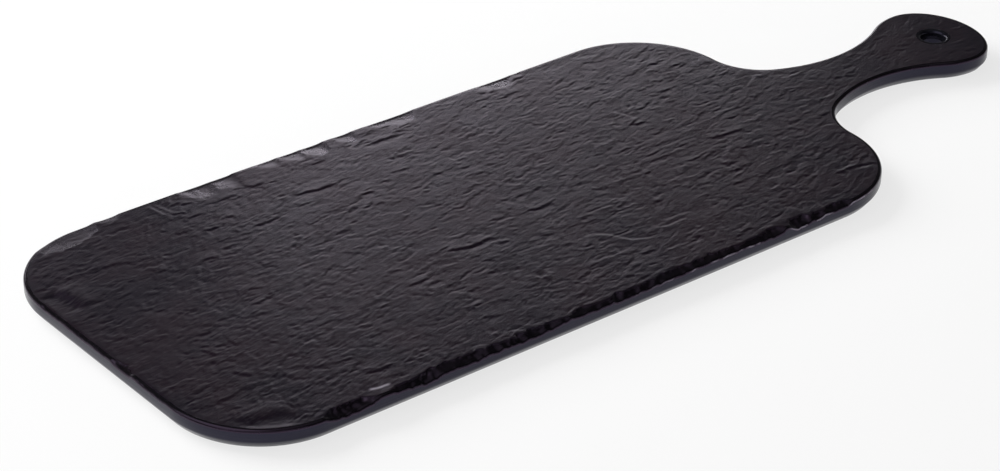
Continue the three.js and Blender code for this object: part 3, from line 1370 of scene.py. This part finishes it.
        # The grid, filled where all four corners of a cell lie well inside
        outline = self.outline
        start = np.array([outline.front_x, -outline.side])
        end = (outline.tip_x, outline.side)
        lines = [np.arange(*line) for line in zip(start, end, self.grid_step)]
        grid = np.stack(np.meshgrid(*lines, indexing="ij"), axis=-1)
        places = grid.reshape(-1, 2)
        inset = np.zeros(len(places))
        held = outline.holds(places)
        inset[held] = outline.distance(places[held])
        land = self.mouth_radius + self.hole_land
        inner = (inset > self.grid_inset) & (self.from_hole(places) > land + self.hole_seam)
        inner = inner.reshape(grid.shape[:2])
        cell = inner[:-1, :-1] & inner[1:, :-1] & inner[1:, 1:] & inner[:-1, 1:]
        used = np.zeros_like(inner)
        for part in (used[:-1, :-1], used[1:, :-1], used[1:, 1:], used[:-1, 1:]):
            part |= cell
        numbers = np.full(inner.shape, -1)
        chosen = used.ravel()
        numbers[used] = mesh.add_points(places[chosen], *self.face_points(places[chosen], inset[chosen]))
        quads = [numbers[:-1, :-1], numbers[1:, :-1], numbers[1:, 1:], numbers[:-1, 1:]]
        mesh.add_faces(np.column_stack([corner[cell] for corner in quads]))

        # The ring along the edge, and the one round the hole, which lies far from the edge
        ring_inset = self.grid_inset - self.seam
        loop = outline.ring(ring_inset)
        edge_ring = mesh.add_points(loop, *self.face_points(loop, ring_inset))
        loop = circle(self.hole, land, self.hole_steps)
        hole_ring = mesh.add_points(loop, *self.face_points(loop, outline.side))

        def in_gap(middle: np.ndarray) -> np.ndarray:
            """Finds the places between the rings and the grid's filled cells.

            Args:
                middle: places in plan, one row each.

            Returns:
                True for each place in the gap.
            """
            i, j = np.clip(((middle - start) / self.grid_step).astype(int), 0, np.array(cell.shape) - 1).T
            inside = outline.holds(middle) & (outline.distance(middle) > ring_inset - self.slack)
            return inside & (self.from_hole(middle) > land - self.slack) & ~cell[i, j]

        # The gap between them, which ends at the sides of filled cells that have no filled neighbour
        padded = np.pad(cell, 1)
        i, j = np.nonzero(padded[1:-1, :-1] ^ padded[1:-1, 1:])
        border = [np.column_stack([numbers[i, j], numbers[i + 1, j]])]
        i, j = np.nonzero(padded[:-1, 1:-1] ^ padded[1:, 1:-1])
        border.append(np.column_stack([numbers[i, j], numbers[i, j + 1]]))
        mesh.add_faces(fill_area(mesh, [edge_ring, hole_ring], np.concatenate(border), in_gap))
        return edge_ring, hole_ring

    def build_edge(self, mesh: MeshBuilder, edge_ring: np.ndarray) -> np.ndarray:
        """Makes the rounded serving edge, the upright wall, the undercut and the rim's edge.

        Args:
            mesh: where the faces go.
            edge_ring: the ring along the edge of the face.

        Returns:
            The point numbers of the rim's outer ring.
        """
        start = self.outline.ring(self.edge_round)
        top, polish, _ = self.face_points(start, self.edge_round)
        rings = [edge_ring, mesh.add_points(start, top, np.maximum(polish, self.arris_polish))]
        gloss = smooth(*self.gloss_levels, layered_noise(start / self.gloss_patch, Seed.GLOSS, 3))
        gloss = self.gloss_low + (1 - self.gloss_low) * gloss
        # Painted glints: pale patches on the arris along the rear of the right edge, broken by noise
        patches = layered_noise(start / self.arris_glint_patch, Seed.ARRIS_GLINT, 2)
        arris_glint = smooth(*self.arris_glint_levels, patches)
        arris_glint = self.arris_glint_share * arris_glint * smooth(*self.arris_glint_ends, start[:, 0])
        arris_glint = arris_glint * (start[:, 1] < self.arris_glint_reach - self.outline.side)
        for degrees in self.edge_degrees:
            turn = math.radians(degrees)
            loop = self.outline.ring(self.edge_round * (1 - math.sin(turn)))
            height = top - self.edge_round * (1 - math.cos(turn))
            shine = gloss if degrees > self.bevel_degrees else 1.0
            painted_light = arris_glint if degrees in self.arris_glint_degrees else 0.0
            rings.append(mesh.add_points(loop, height, shine, painted_light))
        face_bands = len(rings) - 1
        crease_z = self.face_z - self.wall_height
        slope = self.undercut_inset / (crease_z - self.rim_z)
        wall_end = crease_z + self.crease_round

        # Inset and height of each ring below, with the rounded corners drawn by shares of their radii
        section = [
            (0.0, (top - self.edge_round + wall_end) / 2),
            (0.0, wall_end),
            (0.12 * self.crease_round, crease_z + 0.45 * self.crease_round),
            (slope * self.crease_round * 0.45, crease_z - 0.15 * self.crease_round),
            (slope * self.crease_round, crease_z - self.crease_round),
            (self.undercut_inset - slope * self.rim_round, self.rim_z + self.rim_round),
            (self.undercut_inset + 0.12 * self.rim_round, self.rim_z + 0.3 * self.rim_round),
            (self.undercut_inset + 0.9 * self.rim_round, self.rim_z),
        ]
        rings += [mesh.add_points(self.outline.ring(inset), height, 1.0) for inset, height in section]
        for number, (upper, lower) in enumerate(zip(rings[:-1], rings[1:])):
            finish = BoardFinish.FACE if number < face_bands else BoardFinish.EDGE
            mesh.bridge(upper, lower, finish.value)
        return rings[-1]

    def build_hole(self, mesh: MeshBuilder, hole_ring: np.ndarray) -> np.ndarray:
        """Makes the hanging hole with its rounded mouths.

        Args:
            mesh: where the faces go.
            hole_ring: the ring round the hole on the face.

        Returns:
            The point numbers of the lower mouth's ring.
        """
        turns = np.radians(self.mouth_degrees)
        radii = self.mouth_radius - self.hole_mouth * np.sin(turns)
        depths = self.hole_mouth * (1 - np.cos(turns))
        section = list(zip(radii, self.face_z - depths))
        section += reversed(list(zip(radii, self.rim_z + depths)))
        above = hole_ring
        for radius, z in section:
            ring = mesh.add_points(circle(self.hole, radius, self.hole_steps), z, 1.0)
            mesh.bridge(ring, above, BoardFinish.EDGE.value)
            above = ring
        return above

    def recess_corners(self) -> tuple[float, float, float]:
        """Gives the middles of the recess's corners: the front ones' x, the rear ones' x and their y."""
        reach = self.recess_rim + self.recess_corner
        return self.outline.front_x + reach, self.outline.rear_x - reach, self.outline.side - reach

    def recess_loop(self, inset: float) -> np.ndarray:
        """Draws the mouth of the recess in by an inset.

        Args:
            inset: how far it is drawn in.

        Returns:
            Points in plan, anticlockwise.
        """
        front, rear, side = self.recess_corners()
        radius = self.recess_corner
        turns = {(front, -side): -math.pi, (rear, -side): -QUARTER, (rear, side): 0.0, (front, side): QUARTER}
        arcs = [Arc(x, y, radius, radius, turn, turn + QUARTER) for (x, y), turn in turns.items()]
        return np.concatenate([arc.points(inset, self.recess_corner_steps) for arc in arcs])

    def on_rim(self, middle: np.ndarray) -> np.ndarray:
        """Finds the places on the flat rim, outside the recess and the hanging hole.

        Args:
            middle: places in plan, one row each.

        Returns:
            True for each place on the rim.
        """
        front, rear, side = self.recess_corners()
        past_x = np.maximum(np.abs(middle[:, 0] - (front + rear) / 2) - (rear - front) / 2, 0)
        past_y = np.maximum(np.abs(middle[:, 1]) - side, 0)
        outside = np.hypot(past_x, past_y) > self.recess_corner + self.recess_round
        off_hole = self.from_hole(middle) > self.mouth_radius - 2 * self.slack
        return outside & off_hole & self.outline.holds(middle)

    def off_seats(self, middle: np.ndarray) -> np.ndarray:
        """Says which places in plan lie outside every seat."""
        gaps = [np.hypot(*(middle - seat).T) for seat in self.seats]
        return np.minimum.reduce(gaps) > self.chord_share * self.seat_diameter / 2

    def build_underside(self, mesh: MeshBuilder, rim_ring: np.ndarray, hole_ring: np.ndarray) -> None:
        """Makes the rim, the recess with its rounded wall, and the seats of the feet.

        Args:
            mesh: where the faces go.
            rim_ring: the outer ring of the rim.
            hole_ring: the lower mouth of the hanging hole.
        """
        finish = BoardFinish.UNDERSIDE.value
        soft = self.recess_round

        # Inset and height of each ring up the wall, with its two rounds drawn by shares of their radius
        section = [
            (-soft, self.rim_z),
            (-0.3 * soft, self.rim_z + 0.3 * soft),
            (0.25 * soft, self.rim_z + soft),
            (self.recess_draft - self.recess_ease, self.recess_z - soft),
            (self.recess_draft + 0.35 * soft, self.recess_z - 0.25 * soft),
            (self.recess_draft + soft, self.recess_z),
        ]
        rings = [mesh.add_points(self.recess_loop(inset), z) for inset, z in section]
        for lower, upper in zip(rings[:-1], rings[1:]):
            mesh.bridge(lower, upper, finish)
        none = np.empty((0, 2), int)
        rim = fill_area(mesh, [rim_ring, rings[0], hole_ring], none, self.on_rim)
        mesh.add_faces(rim[:, ::-1], finish)

        loops = [circle(seat, self.seat_diameter / 2, self.seat_steps) for seat in self.seats]
        seat_rings = [mesh.add_points(loop, self.recess_z) for loop in loops]
        floor = fill_area(mesh, [rings[-1], *seat_rings], none, self.off_seats)
        mesh.add_faces(floor[:, ::-1], finish)
        seat_z = self.recess_z + self.seat_depth
        for loop, ring in zip(loops, seat_rings):
            upper = mesh.add_points(loop, seat_z)
            mesh.bridge(ring, upper, finish)
            mesh.cap(upper, seat_z, False, finish)

    def build(self) -> bpy.types.Object:
        """Builds the board and gives it its finishes.

        Returns:
            The one piece.
        """
        mesh = MeshBuilder()
        edge_ring, hole_ring = self.build_face(mesh)
        rim_ring = self.build_edge(mesh, edge_ring)
        lower_mouth = self.build_hole(mesh, hole_ring)
        self.build_underside(mesh, rim_ring, lower_mouth)
        finishes = (SlateLookMelamine(), PolishedMelamine(), BlastedMelamine())
        piece = mesh.build("board_moulding", [finish.material() for finish in finishes], self.crease_deg)
        return stand_for(piece, "board")


# Feet


class FootPlace(Enum):
    """The four corners that carry a foot."""

    FRONT_LEFT = "front_left"
    FRONT_RIGHT = "front_right"
    REAR_LEFT = "rear_left"
    REAR_RIGHT = "rear_right"


@dataclass
class Foot:
    """A moulded foot with a rounded sole, a grip dish and fine grip rings, and its adhesive disc."""

    place: FootPlace
    sole_round: float = 1.5
    dish_radius: float = 4.0
    dish_depth: float = 0.5
    dish_slope: Plan = (0.7, 0.05)
    dish_lip: Plan = (0.15, 0.05)
    ring_pitch: float = 1.1
    ring_depth: float = 0.18
    ring_steps: tuple[Plan, ...] = ((0.0, 0.0), (0.55, 0.0), (0.68, 1.0), (0.88, 1.0))
    sole_degrees: tuple[int, ...] = (0, 22, 45, 68, 90)
    parting_share: float = 0.55
    parting_height: float = 0.12
    parting_step: float = 0.02
    bond_edge: tuple[Plan, ...] = ((0.03, 0.3), (0.12, 0.08), (0.3, 0.0))
    disc_ease: float = 0.25
    steps: int = 64
    crease_deg: float = 40.0

    def foot_section(self, radius: float, low: float, high: float) -> list[Plan]:
        """Gives the foot's section from the middle of its sole to the middle of its bond face.

        Args:
            radius: the foot's radius.
            low: height of its sole.
            high: height of its bond face.

        Returns:
            The radius and the height of each ring.
        """
        dish_z = low + self.dish_depth
        share, drop = self.dish_slope
        lip, rise = self.dish_lip
        points = [(0.0, dish_z), (self.dish_radius * share, dish_z - drop), (self.dish_radius, low + rise)]
        flat_from, flat_to = self.dish_radius + lip, radius - self.sole_round
        for ring in range(max(1, int((flat_to - flat_from) / self.ring_pitch))):
            inner = flat_from + ring * self.ring_pitch
            for run, depth in self.ring_steps:
                points.append((inner + run * self.ring_pitch, low + depth * self.ring_depth))
        for turn in np.radians(self.sole_degrees):
            rise = self.sole_round * (1 - math.cos(turn))
            points.append((flat_to + self.sole_round * math.sin(turn), low + rise))
        parting = high * self.parting_share
        return points + [
            (radius - self.parting_step, parting - self.parting_height),
            (radius, parting),
            (radius - self.parting_step, parting + self.parting_height),
            *((radius - inset, high - down) for inset, down in self.bond_edge),
            (0.0, high),
        ]

    def disc_section(self, radius: float, low: float, high: float) -> list[Plan]:
        """Gives the disc's section, with its cut edge a little rounded.

        Args:
            radius: the disc's radius.
            low: height of its lower face.
            high: height of its upper face.

        Returns:
            The radius and the height of each ring.
        """
        ease = (high - low) * self.disc_ease
        rim = [(radius - ease, low), (radius, low + ease), (radius, high - ease), (radius - ease, high)]
        return [(0.0, low), *rim, (0.0, high)]

    def turn(
        self, node: str, section: Section, name: str, material: bpy.types.Material
    ) -> bpy.types.Object:
        """Turns a section about the upright axis of a CAD node.

        Args:
            node: the node's name.
            section: gives the section for a radius, a lowest and a highest place.
            name: the object's name.
            material: its finish.

        Returns:
            The new object.
        """
        low, high = (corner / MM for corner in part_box(node))
        middle = (low + high) / 2
        rows = section((high.x - low.x) / 2, low.z, high.z)
        mesh = MeshBuilder()
        loops = [circle((middle.x, middle.y), radius, self.steps) for radius, _ in rows[1:-1]]
        rings = [mesh.add_points(loop, z) for loop, (_, z) in zip(loops, rows[1:-1])]
        mesh.cap(rings[0], rows[0][1], False)
        for lower, upper in zip(rings[:-1], rings[1:]):
            mesh.bridge(upper, lower)
        mesh.cap(rings[-1], rows[-1][1], True)
        return mesh.build(name, [material], self.crease_deg)

    def build(self, rubber: bpy.types.Material, film: bpy.types.Material) -> list[bpy.types.Object]:
        """Builds the foot and its disc.

        Args:
            rubber: the foot's finish.
            film: the disc's finish.

        Returns:
            The two pieces.
        """
        node = f"foot_{self.place.value}"
        disc_node = f"adhesive_disc_{self.place.value}"
        foot = self.turn(node, self.foot_section, f"silicone_{node}", rubber)
        disc = self.turn(disc_node, self.disc_section, f"film_{disc_node}", film)
        return [stand_for(foot, node), stand_for(disc, disc_node)]


# Studio


@dataclass(frozen=True)
class Softbox:
    """A plain rectangular studio lamp; one behind a polariser lights without a reflection of itself."""

    name: str
    place: tuple[float, float, float]
    width: float
    height: float
    watts: float
    aim_x: float = 0.0
    mirrored: bool = True

    def build(self) -> bpy.types.Object:
        """Hangs the lamp and points it at the long axis of the table top.

        Returns:
            The lamp.
        """
        data = bpy.data.lights.new(self.name, "AREA")
        data.shape = "RECTANGLE"
        data.size = self.width
        data.size_y = self.height
        data.energy = self.watts
        lamp = bpy.data.objects.new(self.name, data)
        lamp.visible_glossy = self.mirrored
        lamp.location = self.place
        aim = Vector((self.aim_x, 0.0, 0.0)) - Vector(self.place)
        lamp.rotation_euler = aim.to_track_quat("-Z", "Y").to_euler()
        bpy.context.scene.collection.objects.link(lamp)
        return lamp


@dataclass
class Studio:
    """The pale floor, the soft light and the camera at the photograph's angle.

    Each of the room's levels goes with the upward share of the direction that it lies in.
    """

    floor_half: float = 14.0
    azimuth: float = -39.01
    elevation: float = 29.91
    roll: float = 0.71
    distance: float = 1.41931
    focal_pixels: float = 3099.0
    picture_width: float = 1000.0
    sensor_width: float = 36.0
    aim_from_front: float = 198.49
    aim_y: float = -24.5
    room_levels: tuple[Plan, ...] = ((0.12, 0.15), (0.48, 0.02), (0.8, 0.02), (1.0, 0.25))
    lamps: tuple[Softbox, ...] = (
        Softbox("main_softbox", (-1.3, 0.3, 1.9), 2.6, 2.2, 15.0),
        Softbox("polarised_softbox", (-0.9, 1.8, 1.2), 2.0, 1.6, 82.0, mirrored=False),
        Softbox("front_fill", (-1.6, -2.0, 1.1), 3.0, 1.2, 5.5),
        Softbox("right_fill", (1.6, -1.8, 0.65), 3.0, 0.9, 3.0),
        Softbox("left_fill", (-1.8, 1.8, 0.75), 2.4, 0.9, 2.0),
        Softbox("back_strip", (0.43, 0.55, 0.19), 0.67, 0.06, 0.64, aim_x=0.53),
        Softbox("back_strip_end", (-0.07, 0.55, 0.19), 0.3, 0.06, 0.08, aim_x=0.03),
    )

    def build_floor(self) -> bpy.types.Object:
        """Lays the paper floor.

        Returns:
            The floor.
        """
        half = self.floor_half / MM
        mesh = MeshBuilder()
        corners = np.array([(-half, -half), (half, -half), (half, half), (-half, half)])
        mesh.add_faces(mesh.add_points(corners, 0.0)[None, :])
        floor = mesh.build("studio_floor", [StudioPaper().material()], crease_deg=30.0)
        return floor

    def build_world(self) -> None:
        """Makes the room: pale near the floor, dark above it and a little lighter overhead."""
        world = bpy.data.worlds.new("studio_room")
        bpy.context.scene.world = world
        world.use_nodes = True
        tree = world.node_tree
        tree.nodes.clear()
        direction = add_node(tree, "TexCoord").outputs["Generated"]
        height = add_node(tree, "SeparateXYZ", Vector=direction).outputs["Z"]
        shade = add_node(tree, "ValToRGB", Fac=height)
        shade.color_ramp.interpolation = "EASE"
        set_stops(shade.color_ramp, *((rise, (level, level, level, 1.0)) for rise, level in self.room_levels))
        light = add_node(tree, "Background", {"Strength": 1.0}, Color=shade.outputs["Color"])
        add_node(tree, "OutputWorld", Surface=light.outputs["Background"])

    def build_camera(self, board: Board) -> bpy.types.Object:
        """Sets the camera up and makes it the scene's own.

        Args:
            board: the board, with the place on its serving face that the camera looks at.

        Returns:
            The camera.
        """
        turn, lift, roll = (math.radians(angle) for angle in (self.azimuth, self.elevation, self.roll))
        back = Vector((math.sin(turn) * math.cos(lift), -math.cos(turn) * math.cos(lift), math.sin(lift)))
        level = Vector((math.cos(turn), math.sin(turn), 0.0))
        plumb = back.cross(level)
        right = level * math.cos(roll) + plumb * math.sin(roll)
        upward = plumb * math.cos(roll) - level * math.sin(roll)
        aim = Vector((board.outline.front_x + self.aim_from_front, self.aim_y, board.face_z)) * MM
        data = bpy.data.cameras.new("photo_camera")
        data.sensor_fit = "HORIZONTAL"
        data.sensor_width = self.sensor_width
        data.lens = self.focal_pixels * self.sensor_width / self.picture_width
        data.clip_start = 0.02
        data.clip_end = 60.0
        camera = bpy.data.objects.new("photo_camera", data)
        turned = Matrix((right, upward, back)).transposed()
        camera.matrix_world = Matrix.Translation(aim + back * self.distance) @ turned.to_4x4()
        bpy.context.scene.collection.objects.link(camera)
        bpy.context.scene.camera = camera
        return camera

    def build(self, board: Board) -> None:
        """Builds the whole studio.

        Args:
            board: the board that it stands round.
        """
        self.build_floor()
        self.build_world()
        for lamp in self.lamps:
            lamp.build()
        self.build_camera(board)
        bpy.context.scene.view_settings.view_transform = "Standard"


def main() -> None:
    """Builds the board, its feet and the studio, and reports each piece."""
    logging.basicConfig(level=logging.INFO, format="%(name)s: %(message)s")
    board = Board()
    pieces = [board.build()]
    rubber = SiliconeRubber().material()
    film = AcrylicFilm().material()
    for place in FootPlace:
        pieces += Foot(place).build(rubber, film)
    for piece in pieces:
        LOG.info("%s: %d points", piece.name, len(piece.data.vertices))
    Studio().build(board)


if __name__ == "__main__":
    main()
